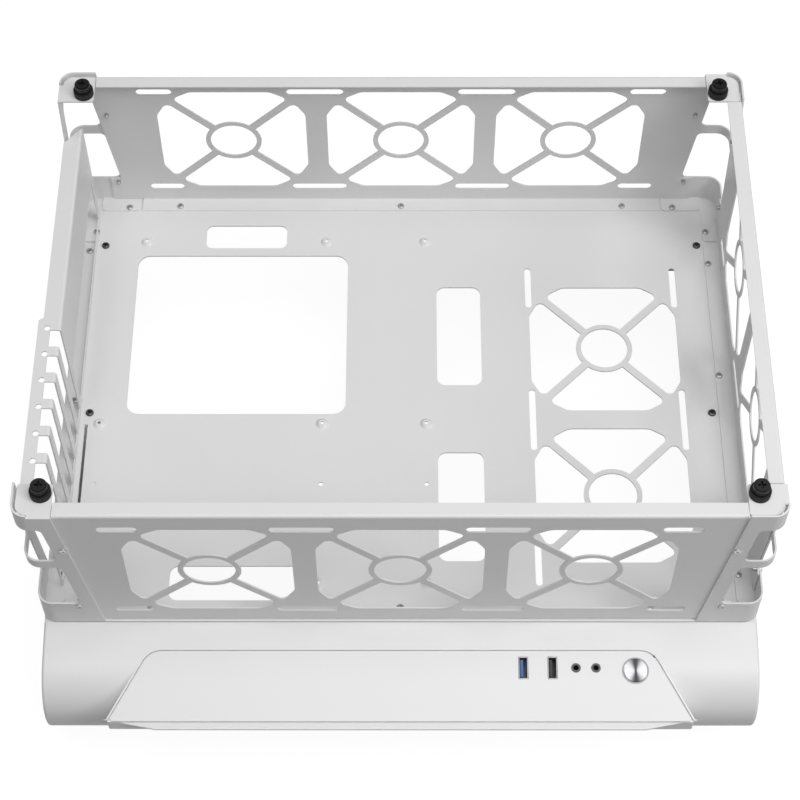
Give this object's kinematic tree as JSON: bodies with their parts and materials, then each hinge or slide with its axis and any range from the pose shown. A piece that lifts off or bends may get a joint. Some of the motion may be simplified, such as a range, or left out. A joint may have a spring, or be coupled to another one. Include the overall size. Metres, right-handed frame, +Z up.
{
  "type": "computer case",
  "caption": "Open computer case: white sheet-metal frame with fan grilles, board tray, port and slot panel, corner posts with pins, and a rounded front console with ports and button",
  "frame": {"origin": "on the floor under the middle of the whole case", "axes": "X along the wide front to the right, Y to the back, Z up"},
  "size_m": [0.4752, 0.4218, 0.2518],
  "materials": {
    "white_powder_coat": "fine satin powder coat",
    "white_plastic": "satin moulded",
    "panel_plastic": "satin moulded",
    "black_rubber": "matt",
    "black_oxide_steel": "black oxide",
    "zinc_steel": "zinc plated",
    "port_metal": "nickel plated",
    "blue_plastic": "satin",
    "black_plastic": "satin",
    "spun_aluminium": "radially spun",
    "ring_metal": "satin",
    "board_green": "solder mask"
  },
  "bodies": {
    "case": {"audio_jack_left": "black_plastic", "audio_jack_right": "black_plastic", "back_fan_bracket": "white_powder_coat", "base_skirt": "white_powder_coat", "black_screws": "black_oxide_steel", "board_screws": "zinc_steel", "button_ring": "ring_metal", "console_screws": "zinc_steel", "corner_post_back_left": "white_powder_coat", "corner_post_back_right": "white_powder_coat", "corner_post_front_left": "white_powder_coat", "corner_post_front_right": "white_powder_coat", "foot_back_left": "black_rubber", "foot_back_right": "black_rubber", "foot_front_left": "black_rubber", "foot_front_right": "black_rubber", "foot_rail_left": "white_powder_coat", "foot_rail_right": "white_powder_coat", "foot_screws": "zinc_steel", "frame_screws": "zinc_steel", "front_console": "white_plastic", "front_fan_bracket": "white_powder_coat", "io_board": "board_green", "io_panel": "panel_plastic", "io_slot_panel": "white_powder_coat", "motherboard_tray": "white_powder_coat", "pin_collar_back_left": "black_rubber", "pin_collar_back_right": "black_rubber", "pin_collar_front_left": "black_rubber", "pin_collar_front_right": "black_rubber", "pin_screw_back_left": "black_oxide_steel", "pin_screw_back_right": "black_oxide_steel", "pin_screw_front_left": "black_oxide_steel", "pin_screw_front_right": "black_oxide_steel", "power_switch": "black_plastic", "side_fan_bracket": "white_powder_coat", "tray_rail_left": "white_powder_coat", "tray_rail_right": "white_powder_coat", "usb2_shell": "port_metal", "usb2_tongue": "black_plastic", "usb3_shell": "port_metal", "usb3_tongue": "blue_plastic"},
    "button": {"power_button": "spun_aluminium"}
  },
  "joints": [
    {"name": "button_press", "type": "slide", "parent": "case", "child": "button", "axis": [0, 0.2164, -0.9763], "range_m": [0, 0.0012], "stiffness_N_per_m": 1500, "springref_m": -0.0003}
  ]
}
